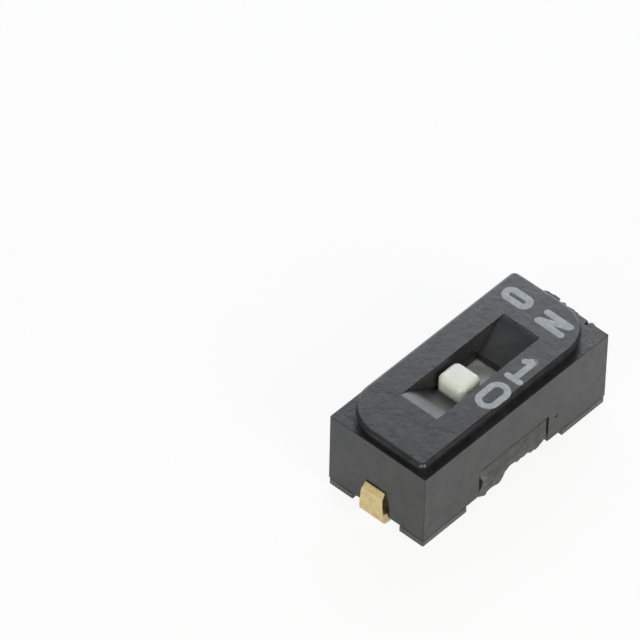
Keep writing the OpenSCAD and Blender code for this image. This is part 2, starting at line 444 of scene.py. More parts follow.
def grain(tree, shader, layers):
    """Bump of several grain sizes; each layer is a pattern and its height in micrometres."""
    below = None
    for pattern, height in layers:
        bump = node(tree, "ShaderNodeBump", Strength=1.0, Distance=height * 1e-6)
        tree.links.new(pattern, bump.inputs["Height"])
        if below is not None:
            tree.links.new(below, bump.inputs["Normal"])
        below = bump.outputs[0]
    tree.links.new(below, shader.inputs["Normal"])


# %% [markdown]
# Moulded black plastic is slightly uneven, so some patches throw the light wider than others, and
# a little pale dust sits on it. The cover is glossier and darker than the base, which came out of
# a mould with a coarser finish. One recipe makes both, with their own colours and roughness.

# %% Black plastics
DUST = (0.24, 0.235, 0.22)


def black_plastic(name, dark, light, rough, speck_share):
    """Moulded black plastic with uneven sheen, fine grain and a little pale dust."""
    material, tree, shader = fresh(name)
    shader.inputs["IOR"].default_value = 1.57
    patches = spread(tree, clouds(tree, 0.35), 0.35, 0.65, 0, 1)
    body = blend(tree, patches, dark, light)
    dust = spread(tree, clouds(tree, 0.05, 1.0), speck_share, speck_share + 0.05, 0, 0.5)
    tree.links.new(blend(tree, dust, body, DUST), shader.inputs["Base Color"])
    sheen = spread(tree, clouds(tree, 0.16), 0.3, 0.7, rough - 0.05, rough + 0.05)
    tree.links.new(sheen, shader.inputs["Roughness"])
    layers = ((0.3, 4.0), (0.12, 3.0), (0.03, 1.0))
    grain(tree, shader, [(clouds(tree, size, 2.0), height) for size, height in layers])
    return material


COVER_BLACKS = (0.011, 0.011, 0.013), (0.022, 0.022, 0.023)
BASE_BLACKS = (0.055, 0.052, 0.045), (0.075, 0.07, 0.062)
COVER_PLASTIC = black_plastic("cover_plastic", *COVER_BLACKS, 0.33, 0.74)
BASE_PLASTIC = black_plastic("base_plastic", *BASE_BLACKS, 0.45, 0.77)
print("black plastics:", COVER_PLASTIC.name, BASE_PLASTIC.name)

# %% [markdown]
# Where a moulding was broken off, the plastic tore. A tear is rough, a little olive, and whitened
# where it was stretched most, next to its edge. The piece carries a number at each point that says
# how near it is to the tear, and the material whitens by that number, broken up by noise.

# %% Torn plastic
WHITENED, TORN_DUST = (0.12, 0.115, 0.095), (0.42, 0.41, 0.36)


def torn_plastic():
    """Black plastic that whitens towards a torn edge, by the piece's own `tear` attribute."""
    material, tree, shader = fresh("torn_plastic")
    shader.inputs["IOR"].default_value = 1.55
    tear = node(tree, "ShaderNodeAttribute")
    tear.attribute_name = "tear"
    patches = spread(tree, clouds(tree, 0.2), 0.38, 0.62, 0, 1)
    body = blend(tree, patches, (0.024, 0.026, 0.029), (0.052, 0.052, 0.047))
    broken = node(tree, "ShaderNodeMath")
    broken.operation = "MULTIPLY"
    tree.links.new(tear.outputs["Fac"], broken.inputs[0])
    tree.links.new(spread(tree, clouds(tree, 0.07), 0.4, 0.66, 0, 1), broken.inputs[1])
    fringe = blend(tree, broken.outputs[0], body, WHITENED)
    dust = spread(tree, clouds(tree, 0.06, 1.0), 0.75, 0.78, 0, 0.8)
    tree.links.new(blend(tree, dust, fringe, TORN_DUST), shader.inputs["Base Color"])
    tree.links.new(spread(tree, clouds(tree, 0.1), 0.3, 0.7, 0.4, 0.6), shader.inputs["Roughness"])
    grain(tree, shader, [(clouds(tree, 0.12, 3.0), 7.0), (clouds(tree, 0.03, 2.0), 2.0)])
    return material


TORN_PLASTIC = torn_plastic()
print(TORN_PLASTIC.name)

# %% [markdown]
# The slider is a white engineering plastic, a little green and milky. Light goes in and comes out
# again beside the point where it entered, which softens the knob's shaded side. A small subsurface
# radius, about as deep as a business card is thick, gives that on a knob under 1 mm wide.

# %% Slider plastic
BROWN_SPECK, SINK_IN = (0.4, 0.38, 0.3), (0.00028, 0.00028, 0.0002)


def slider_plastic():
    """Milky white moulding plastic with a faint green cast."""
    material, tree, shader = fresh("slider_plastic")
    patches = spread(tree, clouds(tree, 0.4), 0.35, 0.65, 0, 1)
    body = blend(tree, patches, (0.66, 0.675, 0.615), (0.73, 0.745, 0.685))
    dust = spread(tree, clouds(tree, 0.045, 1.0), 0.78, 0.82, 0, 0.35)
    tree.links.new(blend(tree, dust, body, BROWN_SPECK), shader.inputs["Base Color"])
    sheen = spread(tree, clouds(tree, 0.15), 0.3, 0.7, 0.36, 0.46)
    tree.links.new(sheen, shader.inputs["Roughness"])
    shader.inputs["Subsurface Weight"].default_value = 0.9
    shader.inputs["Subsurface Radius"].default_value = SINK_IN
    shader.inputs["Subsurface Scale"].default_value = 1.0
    grain(tree, shader, [(clouds(tree, 0.2, 2.0), 3.0), (clouds(tree, 0.03, 2.0), 0.5)])
    return material


SLIDER_PLASTIC = slider_plastic()
print(SLIDER_PLASTIC.name)

# %% [markdown]
# The terminals are stamped from copper alloy strip and gold plated. Rolling and the bending tool
# leave faint lines across the strip, so the roughness and the bump use a noise that is stretched
# that way. Brown tarnish gathers in soft patches. Metal takes its colour in its reflections.

# %% Gold plate
BROWN_SPOT = (0.3, 0.2, 0.1)


def gold_plate(name, bright, tarnish, rough):
    """Plated strip with fine lines from rolling and patches of tarnish."""
    material, tree, shader = fresh(name)
    shader.inputs["Metallic"].default_value = 1.0
    patches = spread(tree, clouds(tree, 0.18), 0.42, 0.7, 0, 1)
    body = blend(tree, patches, bright, tarnish)
    spots = spread(tree, clouds(tree, 0.05, 1.0), 0.7, 0.76, 0, 0.6)
    tree.links.new(blend(tree, spots, body, BROWN_SPOT), shader.inputs["Base Color"])
    lines = clouds(tree, 0.02, 2.0, (0.06, 1, 1))
    sheen = spread(tree, lines, 0.3, 0.7, rough - 0.07, rough + 0.09)
    tree.links.new(sheen, shader.inputs["Roughness"])
    grain(tree, shader, [(clouds(tree, 0.16, 2.0), 6.0), (lines, 0.8)])
    return material


TERMINAL_GOLD = gold_plate("terminal_gold", (0.74, 0.61, 0.32), (0.6, 0.45, 0.21), 0.3)
CONTACT_GOLD = gold_plate("contact_gold", (0.78, 0.6, 0.28), (0.66, 0.47, 0.2), 0.22)
print(TERMINAL_GOLD.name, CONTACT_GOLD.name)

# %% [markdown]
# The marks are pad printed: a soft pad lays down a thin film of grey-white ink. The film is thin
# in places, where the black shows through as darker patches, and it is more matt than the plastic.

# %% Printing ink
THICK_INK, THIN_INK = (0.345, 0.375, 0.39), (0.25, 0.265, 0.28)


def printing_ink():
    """A thin film of grey-white ink, darker where it lies thin."""
    material, tree, shader = fresh("printing_ink")
    shader.inputs["IOR"].default_value = 1.45
    thin = spread(tree, clouds(tree, 0.09, 3.0), 0.3, 0.62, 1, 0)
    tree.links.new(blend(tree, thin, THICK_INK, THIN_INK), shader.inputs["Base Color"])
    matt = spread(tree, clouds(tree, 0.05), 0.3, 0.7, 0.5, 0.65)
    tree.links.new(matt, shader.inputs["Roughness"])
    grain(tree, shader, [(clouds(tree, 0.05, 2.0), 1.5)])
    return material


PRINTING_INK = printing_ink()
print(PRINTING_INK.name)

# %% [markdown]
# The cover is one moulding. Its raised top has two wide corners on one diagonal and two narrow
# ones, so that a finger knows which way round it is. Its sides lean in a little under their upper
# edge, so they mirror only the dark ledge below. It could be drawn as one outline and extruded.
# Here it starts as a block, because its upright edges can then be bevelled one at a time, each to
# its own radius. Its upper rim is first cut off flat and then softened, as a steep round would
# mirror the floor. It is sunk into the lower block and joined.

# %% Cover: lower block and raised top
WALL_EDGE, LEDGE_EDGE, SEAM_EDGE = 0.022, 0.016, 0.02
WIDE_CORNER, NARROW_CORNER = (0.9, 20), (0.12, 6)
RIM_FLAT, RIM_ROUND, LEAN = 0.05, 0.02, 0.075
SUNK_Z = LEDGE_Z - 0.1


def lower_block():
    """The cover's straight lower part, with hardly broken edges."""
    block("cover", (-HALF_W, -HALF_L, SEAM_Z), (HALF_W, HALF_L, LEDGE_Z))
    for x in (-1, 1):
        for y in (-1, 1):
            round_off(lambda p: near(p.x, x * HALF_W) and near(p.y, y * HALF_L), WALL_EDGE, 3)
    round_off(lambda p: near(p.z, LEDGE_Z), LEDGE_EDGE, 2)
    round_off(lambda p: near(p.z, SEAM_Z), SEAM_EDGE, 2)
    return shape_done()


def raised_top():
    """The raised top, with its two wide and two narrow corners."""
    side, near_end, far_end = HALF_W - 0.115, 0.05 - HALF_L, HALF_L - 0.13
    block("raised_top", (-side, near_end, SUNK_Z), (side, far_end, FACE_Z))
    for x, y, corner in (
        (side, far_end, WIDE_CORNER), (-side, near_end, WIDE_CORNER),
        (side, near_end, NARROW_CORNER), (-side, far_end, NARROW_CORNER),
    ):
        round_off(lambda p: near(p.x, x) and near(p.y, y), *corner)
    round_off(lambda p: near(p.z, FACE_Z), RIM_FLAT, 1)
    round_off(lambda p: near(p.z, FACE_Z), RIM_ROUND, 3)
    pick("FACE", lambda p: near(p.z, SUNK_Z))
    bpy.ops.transform.resize(value=(1 - LEAN / side, 1 - 2 * LEAN / (far_end - near_end), 1))
    return shape_done()


cover = boolean(lower_block(), raised_top(), "UNION")
print("cover blank", len(cover.data.polygons), "faces")

# %% [markdown]
# The finger recess slopes down from both ends to a window, and its side walls lean outwards as
# they rise. The cutter grows from the window upwards: its top face is extruded and stretched, once
# up the straight slope and then in small steps round the arc of the upper edge. The rims and the
# lips are broken afterwards, so that they catch a thin line of light.

# %% Cover: finger recess
ARC_STEPS = 16
RIM_BREAK, LIP_BREAK = 0.016, 0.02


def recess_cutter():
    """The shape of the finger recess and its window, grown upwards from the window."""
    half = RECESS_L / 2
    flare = (RECESS_W - WINDOW_W) / (TOP_Z - LIP_Z)
    turns = [SLOPE_ANGLE * i / ARC_STEPS for i in range(ARC_STEPS, -1, -1)]
    rings = [(half - SLOPE_R * math.sin(a), TOP_Z - SLOPE_R * (1 - math.cos(a))) for a in turns]
    x, y = WINDOW_W / 2, WINDOW_L / 2
    block("recess", (-x, -y, CEILING_Z - 0.05), (x, y, LIP_Z))
    long, wide, z = y, WINDOW_W, LIP_Z
    pick("FACE", lambda p: near(p.z, LIP_Z))
    for next_long, next_z in rings + [(half + 0.01, TOP_Z + 0.1)]:
        next_wide = WINDOW_W + flare * (next_z - LIP_Z)
        push((0, 0, next_z - z))
        bpy.ops.transform.resize(value=(next_wide / wide, next_long / long, 1))
        long, wide, z = next_long, next_wide, next_z
    return shape_done()


def on_long_rim(p):
    """On an upper edge along the recess, short of where it runs into the slopes."""
    return near(p.z, FACE_Z) and 0.45 < abs(p.x) < 0.5 and abs(p.y) < 1.4


def on_lip(p):
    """On the edge of the window."""
    return near(p.z, LIP_Z, 0.004) and abs(p.x) < 0.4


boolean(cover, recess_cutter(), "DIFFERENCE")
only(cover)
bpy.ops.object.mode_set(mode="EDIT")
rims = round_off(on_long_rim, RIM_BREAK, 2)
lips = round_off(on_lip, LIP_BREAK, 2)
shape_done()
print("broken rims:", rims, "lips:", lips)

# %% [markdown]
# Under its top the cover is hollow: a wide channel guides the slider, and below it the base closes
# the cavity. Each end has a notch for a terminal, wide beside the blade and narrow round the neck,
# and each side has one for a tab of the base. All are plain cutters, taken off one after another.

# %% Cover: channel, cavity and notches
TRAVEL = 0.6
CHANNEL_X, CHANNEL_LOW, CAVITY_TOP = 0.66, 1.0, 1.1
TAB_Y, TAB_BACK, TAB_GAP = 1.0, 0.055, 0.025
NOTCH_X, NOTCH_Z, NECK_X, NECK_Z = 0.342, 0.6, 0.262, 0.73


def hollow_out():
    """Cuts the channel, the cavity and the four notches."""
    y = WINDOW_L / 2 + TRAVEL + 0.23
    block("channel", (-CHANNEL_X, -y, CHANNEL_LOW), (CHANNEL_X, y, CEILING_Z))
    boolean(cover, shape_done(), "DIFFERENCE")
    x, y = HALF_W - SIDE_WALL, HALF_L - END_WALL
    block("cavity", (-x, -y, -1), (x, y, CAVITY_TOP))
    boolean(cover, shape_done(), "DIFFERENCE")
    top = PAD_TOP + 0.01
    half = [(NOTCH_X, -1), (NOTCH_X, NOTCH_Z), (NECK_X, NECK_Z), (NECK_X, top)]
    outline = half + [(-x, z) for x, z in half[::-1]]
    traced("end_notches", [(x, -HALF_L - 1, z) for x, z in outline], (0, 2 * HALF_L + 2, 0))
    boolean(cover, shape_done(), "DIFFERENCE")
    for side in (-1, 1):
        low, high = sorted((side * 0.7, side * 2))
        middle, half = -side * TAB_BACK, TAB_Y + TAB_GAP
        block("tab_notch", (low, middle - half, -1), (high, middle + half, TAB_TOP + 2 * TAB_GAP))
        boolean(cover, shape_done(), "DIFFERENCE")


hollow_out()
print("cover hollowed", len(cover.data.polygons), "faces")

# %% [markdown]
# A ragged flash runs along the far edge of the ledge, where plastic crept between the halves of
# the mould, and there is a nick beside it. The flash's outline is drawn point by point with the
# extrude tool, as one would trace it over a photograph, and it is rooted in the ledge, so that no
# flake hangs free. A small round pit is left in the right wall.

# %% Cover: flash, nick and pit
BURR = [(-0.5, 0), (-0.47, 0.07), (-0.44, 0.1), (-0.42, 0.095), (-0.39, 0.125), (-0.355, 0.104),
        (-0.32, 0.11), (-0.27, 0.118), (-0.24, 0.137), (-0.18, 0.13), (-0.1, 0.125),
        (-0.085, 0.07), (-0.07, 0.018), (-0.05, 0.02), (-0.02, 0.042), (0.015, 0.078),
        (0.06, 0.092), (0.085, 0.075), (0.11, 0.01), (0.14, 0.04), (0.18, 0.05), (0.25, 0.057),
        (0.32, 0.062), (0.35, 0.036), (0.41, 0.047), (0.44, 0.02), (0.47, 0.01), (0.58, 0.012),
        (0.69, 0.006), (0.7, 0)]
TOOTH = [(0.77, 0), (0.8, 0.026), (0.82, 0.05), (0.84, 0.025), (0.86, 0.018), (0.9, 0)]
FLASH_OUT, FLASH_T = 0.71, 0.03
NICK_X, NICK_W, NICK_DEPTH = 0.735, 0.07, 0.09
PIT_R, PIT_SPOT = 0.045, (HALF_W + 0.004, 1.2, 0.77)


def burr(name, profile):
    """A thin flake of plastic that sticks out from the far edge of the ledge."""
    foot = [(profile[-1][0], -0.05), (profile[0][0], -0.05)]
    points = [(x, HALF_L + FLASH_OUT * out, LEDGE_Z - 0.003) for x, out in profile + foot]
    traced(name, points, (0, 0, -FLASH_T))
    return shape_done()


def nick():
    """A wedge out of the far upper edge."""
    half, low = NICK_W / 2, -NICK_DEPTH
    corners = [(-half, 0.02), (half, 0.02), (0.008, low), (-0.012, low + 0.01)]
    traced("nick", [(NICK_X + x, HALF_L + 0.05, LEDGE_Z + z) for x, z in corners], (0, -0.16, 0))
    return shape_done()


def pit():
    """The ball that leaves a shallow round pit in the right wall."""
    bpy.ops.object.select_all(action="DESELECT")
    bpy.ops.mesh.primitive_uv_sphere_add(
        segments=24, ring_count=12, radius=PIT_R, location=PIT_SPOT
    )
    return bpy.context.object


boolean(cover, nick(), "DIFFERENCE")
boolean(cover, pit(), "DIFFERENCE")
boolean(cover, burr("burr", BURR), "UNION")
boolean(cover, burr("tooth", TOOTH), "UNION")
finish_piece(cover, COVER_PLASTIC, "housing", "cover_plastic", "cover")

# %% [markdown]
# The base is the second moulding, pushed into the cover from below. Only its four feet, its side
# tabs and a little of its plate show, but it is built whole: a plate with gaps for the terminals
# and along the sides, a block that fills the cavity, and a tongue under each terminal. A shallow
# groove, finer than a hair, runs round its upper edge and draws the seam as a dark line.

# %% Base
BASE_IN, GROOVE, GROOVE_IN, FIT = 0.012, 0.03, 0.05, 0.02
PLATE_Z = SEAM_Z - GROOVE
ROOT_Z = PLATE_Z - 0.01
END_GAP, SIDE_GAP = (0.62, 1.9), (0.9, 1.417)
PAD_X, OFF_PAD_END, ON_PAD_END = 0.25, 0.12, 0.55
TONGUE_X, TONGUE_IN = 0.35, 0.08


def base_plate():
    """The plate with its four feet, cut out at the ends and along the sides."""
    x, y = HALF_W - BASE_IN, HALF_L - BASE_IN
    block("base", (-x, -y, FOOT_Z), (x, y, PLATE_Z))
    for x in (-1, 1):
        for y in (-1, 1):
            round_off(lambda p: p.x * x > 1.2 and p.y * y > 2.6, 0.025, 3)
    round_off(lambda p: near(p.z, PLATE_Z), 0.01, 2)
    plate = shape_done()
    x, y = HALF_W - GROOVE_IN, HALF_L - GROOVE_IN
    block("groove_bottom", (-x, -y, ROOT_Z), (x, y, SEAM_Z))
    boolean(plate, shape_done(), "UNION")
    for side in (-1, 1):
        low, high = sorted((side * END_GAP[1], side * 4))
        block("end_gap", (-END_GAP[0], low, -1), (END_GAP[0], high, 1))
        boolean(plate, shape_done(), "DIFFERENCE")
        low, high = sorted((side * SIDE_GAP[0], side * 3))
        block("side_gap", (low, -SIDE_GAP[1], -1), (high, SIDE_GAP[1], 1))
        boolean(plate, shape_done(), "DIFFERENCE")
    return plate


def base_block():
    """The block in the cavity, with the seats of the two fixed pads and its end tongues."""
    x, y, seat_z = HALF_W - SIDE_WALL - FIT, HALF_L - END_WALL - FIT, PAD_TOP - STRIP_T
    block("base_block", (-x, -y, ROOT_Z), (x, y, PAD_TOP))
    round_off(lambda p: near(p.z, PAD_TOP), 0.03, 2)
    inner = shape_done()
    y = HALF_L - TONGUE_IN
    block("tongues", (-TONGUE_X, -y, ROOT_Z), (TONGUE_X, y, seat_z))
    boolean(inner, shape_done(), "UNION")
    for low, high in ((-4, -OFF_PAD_END), (ON_PAD_END, 4)):
        block("pad_seat", (-PAD_X, low, seat_z), (PAD_X, high, 3))
        boolean(inner, shape_done(), "DIFFERENCE")
    return inner


base = boolean(base_plate(), base_block(), "UNION")
finish_piece(base, BASE_PLASTIC, "housing", "base_plastic", "base")

# %% [markdown]
# A side tab of the base was broken off: its lower edge is torn, and so is the side next to the
# OFF end. The outline is traced, and then the solid is remeshed into small even faces, which a
# Displace modifier can push in and out like torn plastic. Each point keeps its nearness to the
# tear as a number, for the material that whitens there. The tab on the far side is a turned copy.

# %% Side tabs with torn edges
TORN = [(-0.99, 0.12), (-0.94, 0.085), (-0.86, 0.04), (-0.78, 0.0), (-0.74, 0.06), (-0.66, 0.09),
        (-0.55, 0.085), (-0.44, 0.05), (-0.35, 0.07), (-0.26, 0.14), (-0.2, 0.23), (-0.12, 0.285),
        (0, 0.3), (0.08, 0.29), (0.13, 0.25), (0.2, 0.245), (0.25, 0.275), (0.35, 0.245),
        (0.46, 0.25), (0.54, 0.205), (0.62, 0.21), (0.7, 0.17), (0.78, 0.165), (0.84, 0.21),
        (0.93, 0.25), (1, 0.29)]
WORN = [(-1, 0.22), (-0.94, 0.29), (-0.87, 0.38), (-0.87, 0.47), (-0.91, 0.56), (-0.99, 0.66)]
TAB_INSET, TAB_ROOT = 0.022, 0.1
VOXEL, FOLD_SIZE, FOLD_DEPTH = 0.014, 0.16, 0.035
WHITE_REACH = 0.2


def torn_tab(name):
    """A side tab, its lower edge and one side torn, with small folds all over its face."""
    root = HALF_W - SIDE_WALL - TAB_ROOT
    face = HALF_W - TAB_INSET
    top = TAB_TOP - 0.012
    outline = TORN + [(TAB_Y, top - FOOT_Z), (-TAB_Y, top - FOOT_Z)] + WORN[::-1]
    tab = traced(name, [(root, y - TAB_BACK, z + FOOT_Z) for y, z in outline], (face - root, 0, 0))
    shape_done()
    bpy.ops.object.modifier_add(type="REMESH")
    tab.modifiers[-1].mode = "VOXEL"
    tab.modifiers[-1].voxel_size = VOXEL
    bpy.ops.object.modifier_apply(modifier=tab.modifiers[-1].name)
    folds = bpy.data.textures.new("folds", "CLOUDS")
    folds.noise_scale, folds.noise_depth = FOLD_SIZE, 3
    bpy.ops.object.modifier_add(type="DISPLACE")
    tab.modifiers[-1].texture = folds
    tab.modifiers[-1].strength = FOLD_DEPTH
    tab.modifiers[-1].mid_level = 0.6
    bpy.ops.object.modifier_apply(modifier=tab.modifiers[-1].name)
    return tab


def mark_tear(tab):
    """Writes how near each point is to the torn outline: 1 at the tear and 0 out of its reach."""
    edge = [(y - TAB_BACK, z + FOOT_Z) for y, z in WORN[::-1] + TORN]
    numbers = tab.data.attributes.new("tear", "FLOAT", "POINT")
    for point in tab.data.vertices:
        here = Vector((point.co.y, point.co.z))
        away = WHITE_REACH
        for a, b in zip(edge, edge[1:]):
            a, b = Vector(a), Vector(b)
            t = max(0, min(1, (here - a).dot(b - a) / (b - a).length_squared))
            away = min(away, (here - a.lerp(b, t)).length)
        numbers.data[point.index].value = 1 - away / WHITE_REACH


side_tab = torn_tab("side_tab")
mark_tear(side_tab)
far_tab = turned(side_tab, "far_side_tab")
for tab in (side_tab, far_tab):
    finish_piece(tab, TORN_PLASTIC, "housing", "base_plastic", angle=60)

# %% [markdown]
# The slider is a plate with a knob. The plate glides under the ceiling of the channel, just below
# the lips of the window, and two cheeks on its underside guard the contact. The cheeks grow out of
# the plate: the block is bisected where they start, and the outer faces are extruded. The knob is
# very round: first its upright edges are bevelled, then the rim of its top. A post with a
# flattened head hangs from the plate and holds the contact.

# %% Slider
PLATE_X, PLATE_Y = 0.62, WINDOW_L / 2 + TRAVEL / 2 + 0.17
PLATE_TOP, PLATE_LOW = CEILING_Z - 0.02, 1.31
CHEEK_X, CHEEK_Y, CHEEK_H = 0.46, 0.95, 0.32
KNOB_X, KNOB_Y, KNOB_ASIDE = 0.35, 0.31, -0.025
KNOB_CORNER, KNOB_RIM = (0.155, 8), (0.13, 7)
HEAD_R, HEAD_T, HEAD_STEP = 0.18, 0.07, 0.07
SMALL_EDGE = 0.02
REST_Y = -TRAVEL / 2


def on_plate_rim(p):
    """On the plate's outer upper edges, and not on the lines left by the bisecting."""
    return near(p.z, PLATE_TOP) and (abs(p.x) > 0.6 or abs(p.y - REST_Y) > 1.1)


def slider_plate():
    """The plate with its two cheeks below, extruded out of one block."""
    block("slider", (-PLATE_X, REST_Y - PLATE_Y, PLATE_LOW), (PLATE_X, REST_Y + PLATE_Y, PLATE_TOP))
    cuts = [((side * CHEEK_X, 0, 0), (1, 0, 0)) for side in (-1, 1)]
    cuts += [((0, REST_Y + end * CHEEK_Y, 0), (0, 1, 0)) for end in (-1, 1)]
    for place, across in cuts:
        bpy.ops.mesh.select_all(action="SELECT")
        bpy.ops.mesh.bisect(plane_co=place, plane_no=across)
    pick("FACE", lambda p: near(p.z, PLATE_LOW) and abs(p.x) > 0.45 and abs(p.y - REST_Y) < 0.96)
    push((0, 0, -CHEEK_H))
    round_off(lambda p: near(p.z, PLATE_LOW - CHEEK_H), SMALL_EDGE, 2)
    round_off(on_plate_rim, SMALL_EDGE, 2)
    return shape_done()


def knob():
    """The rounded knob, a hair off the middle, with its foot sunk a little into the plate."""
    low = (KNOB_ASIDE - KNOB_X, REST_Y - KNOB_Y, PLATE_TOP - 0.05)
    high = (KNOB_ASIDE + KNOB_X, REST_Y + KNOB_Y, slider_high.z)
    block("knob", low, high)
    for x in (low[0], high[0]):
        for y in (low[1], high[1]):
            round_off(lambda p: near(p.x, x) and near(p.y, y), *KNOB_CORNER)
    round_off(lambda p: near(p.z, slider_high.z), *KNOB_RIM)
    return shape_done()


def contact_post():
    """The post under the plate, whose head was flattened to hold the contact."""
    bpy.ops.object.select_all(action="DESELECT")
    low = slider_low.z
    middle = (0, REST_Y, low + HEAD_T / 2)
    bpy.ops.mesh.primitive_cylinder_add(vertices=32, radius=HEAD_R, depth=HEAD_T, location=middle)
    bpy.ops.object.transform_apply()
    bpy.ops.object.mode_set(mode="EDIT")
    round_off(lambda p: near(p.z, low), 0.03, 3)
    pick("FACE", lambda p: near(p.z, low + HEAD_T))
    bpy.ops.mesh.inset(thickness=HEAD_STEP)
    push((0, 0, PLATE_LOW - low - 0.06))
    return shape_done()


slider = boolean(slider_plate(), knob(), "UNION")
boolean(slider, contact_post(), "UNION")
finish_piece(slider, SLIDER_PLASTIC, "slider", "slider_plastic", "slider")

# %% [markdown]
# Terminals and contact are strips of sheet metal. A strip is easiest to draw from its end: a thin
# face is extruded from point to point along the bends, widened where the die left a shoulder, and
# given its thickness by Solidify. A Bevel modifier then breaks the stamped edges. Round bends are
# curves of a few short steps, which the helper works out from the corner and its radius.

# %% Helpers: bent strip
BEND_STEPS = 6


def bent(corners, radii):
    """Points in the Y-Z plane along a strip, with each inner corner rounded to its own radius."""
    path = [Vector(corners[0])]
    for before, corner, after, radius in zip(corners, corners[1:], corners[2:], radii):
        before, corner, after = Vector(before), Vector(corner), Vector(after)
        come, go = (corner - before).normalized(), (after - corner).normalized()
        turn = come.angle(go)
        if turn < 0.05 or not radius:
            path.append(corner)
            continue
        room = min((corner - before).length, (after - corner).length) / 2.05
        back = min(radius * math.tan(turn / 2), room)
        start, end = corner - come * back, corner + go * back
        for i in range(BEND_STEPS + 1):
            t = i / BEND_STEPS
            path.append(start.lerp(corner, t).lerp(corner.lerp(end, t), t))
    return path + [Vector(corners[-1])]


def metal_strip(name, path, sides, thickness, edge):
    """A strip along a path, with two sides at each point, a thickness and broken edges."""
    middle = [sum(sides(point)) / 2 for point in path]
    width = [sides(point)[1] - sides(point)[0] for point in path]
    first, second = path[0], path[1]
    bpy.ops.object.select_all(action="DESELECT")
    bpy.ops.mesh.primitive_plane_add(size=1)
    strip = bpy.context.object
    strip.name = name
    bpy.ops.object.mode_set(mode="EDIT")
    bpy.ops.transform.resize(value=(width[0], 1e-3, 1))
    bpy.ops.transform.translate(value=(middle[0], first.x, first.y))
    pick("EDGE", lambda p: p.y > first.x if second.x > first.x else p.y < first.x)
    for i, (here, there) in enumerate(zip(path, path[1:])):
        push((middle[i + 1] - middle[i], there.x - here.x, there.y - here.y))
        bpy.ops.transform.resize(value=(width[i + 1] / width[i], 1, 1))
    bpy.ops.mesh.select_all(action="SELECT")
    bpy.ops.mesh.remove_doubles(threshold=0.003)
    bpy.ops.mesh.normals_make_consistent(inside=False)
    shape_done()
    bpy.ops.object.modifier_add(type="SOLIDIFY")
    strip.modifiers[-1].thickness = thickness
    strip.modifiers[-1].offset = 0
    strip.modifiers[-1].use_even_offset = True
    bpy.ops.object.modifier_apply(modifier=strip.modifiers[-1].name)
    bpy.ops.object.modifier_add(type="BEVEL")
    strip.modifiers[-1].width = edge
    strip.modifiers[-1].segments = 3
    strip.modifiers[-1].limit_method = "ANGLE"
    strip.modifiers[-1].angle_limit = math.radians(50)
    bpy.ops.object.modifier_apply(modifier=strip.modifiers[-1].name)
    return strip


# %% [markdown]
# A terminal comes out of the end as a neck, turns down sharply, widens into the blade, kinks a
# little where the forming tool pressed it and pinched one side, and hooks under to the flat face
# that is soldered. Its two sides are written down by height. Both terminals are the same but for
# the length of the pad inside, so one function makes both.

# %% Terminals
LEAD_OUT, KINK, HOOK = 0.109, 0.028, 0.39
FINE_STEP = 0.04
SHOULDER = ((0.3, 0.33), (0.52, 0.33), (0.6, 0.318), (0.72, 0.268), (0.82, 0.25))
PINCHED = ((0.3, 0.285), (0.38, 0.275), (0.44, 0.245), (0.49, 0.24), (0.57, 0.255), (0.7, 0.25))


def side_at(profile, z):
    """How far a side is from the middle at a height, from a list of heights and distances."""
    if z <= profile[0][0]:
        return profile[0][1]
    for (low, near_side), (high, far_side) in zip(profile, profile[1:]):
        if z <= high:
            return near_side + (far_side - near_side) * (z - low) / (high - low)
    return profile[-1][1]


def lead_sides(point):
    """A straight pad inside, and outside it the shoulder on one side and the pinch on the other."""
    z = 1.0 if point.x < HALF_L - 0.1 and point.y > 0.4 else point.y
    return -side_at(PINCHED, z), side_at(SHOULDER, z)


def terminal(name, pad_end):
    """One terminal of the ON end, from its pad inside to its solder face."""
    lead_y = HALF_L + LEAD_OUT - STRIP_T / 2
    pad_z, low = PAD_TOP - STRIP_T / 2, STRIP_T / 2
    corners = [(pad_end, pad_z), (HALF_L - 0.02, pad_z), (lead_y - 0.004, 0.66),
               (lead_y - KINK, 0.46), (lead_y, 0.34), (lead_y, low), (lead_y - 0.045 - HOOK, low)]
    path = bent(corners, (0, 0.04, 0.02, 0.04, 0.085))
    fine = []
    for here, there in zip(path, path[1:]):
        pieces = max(1, int((there - here).length / FINE_STEP)) if here.x > HALF_L - 0.2 else 1
        fine += [here.lerp(there, i / pieces) for i in range(pieces)]
    return metal_strip(name, fine + [path[-1]], lead_sides, STRIP_T, 0.03)


on_end_terminal = terminal("on_end_terminal_strip", ON_PAD_END)
off_end_terminal = terminal("off_end_terminal_strip", OFF_PAD_END)
only(off_end_terminal)
off_end_terminal.rotation_euler = (0, 0, math.pi)
bpy.ops.object.transform_apply()
finish_piece(on_end_terminal, TERMINAL_GOLD, "housing", "terminal_gold", "on_end_terminal")
finish_piece(off_end_terminal, TERMINAL_GOLD, "housing", "terminal_gold", "off_end_terminal")

# %% [markdown]
# The moving contact hides under the slider: a springy leaf with two fingers at each end, whose
# tips curl up so that they glide on the pads. One arm is drawn and split, and the other end is the
# same arm turned half round about the post. A hole lets the post through.

# %% Moving contact
LEAF_T, LEAF_LIFT, HOLE_R = 0.07, 0.01, 0.12


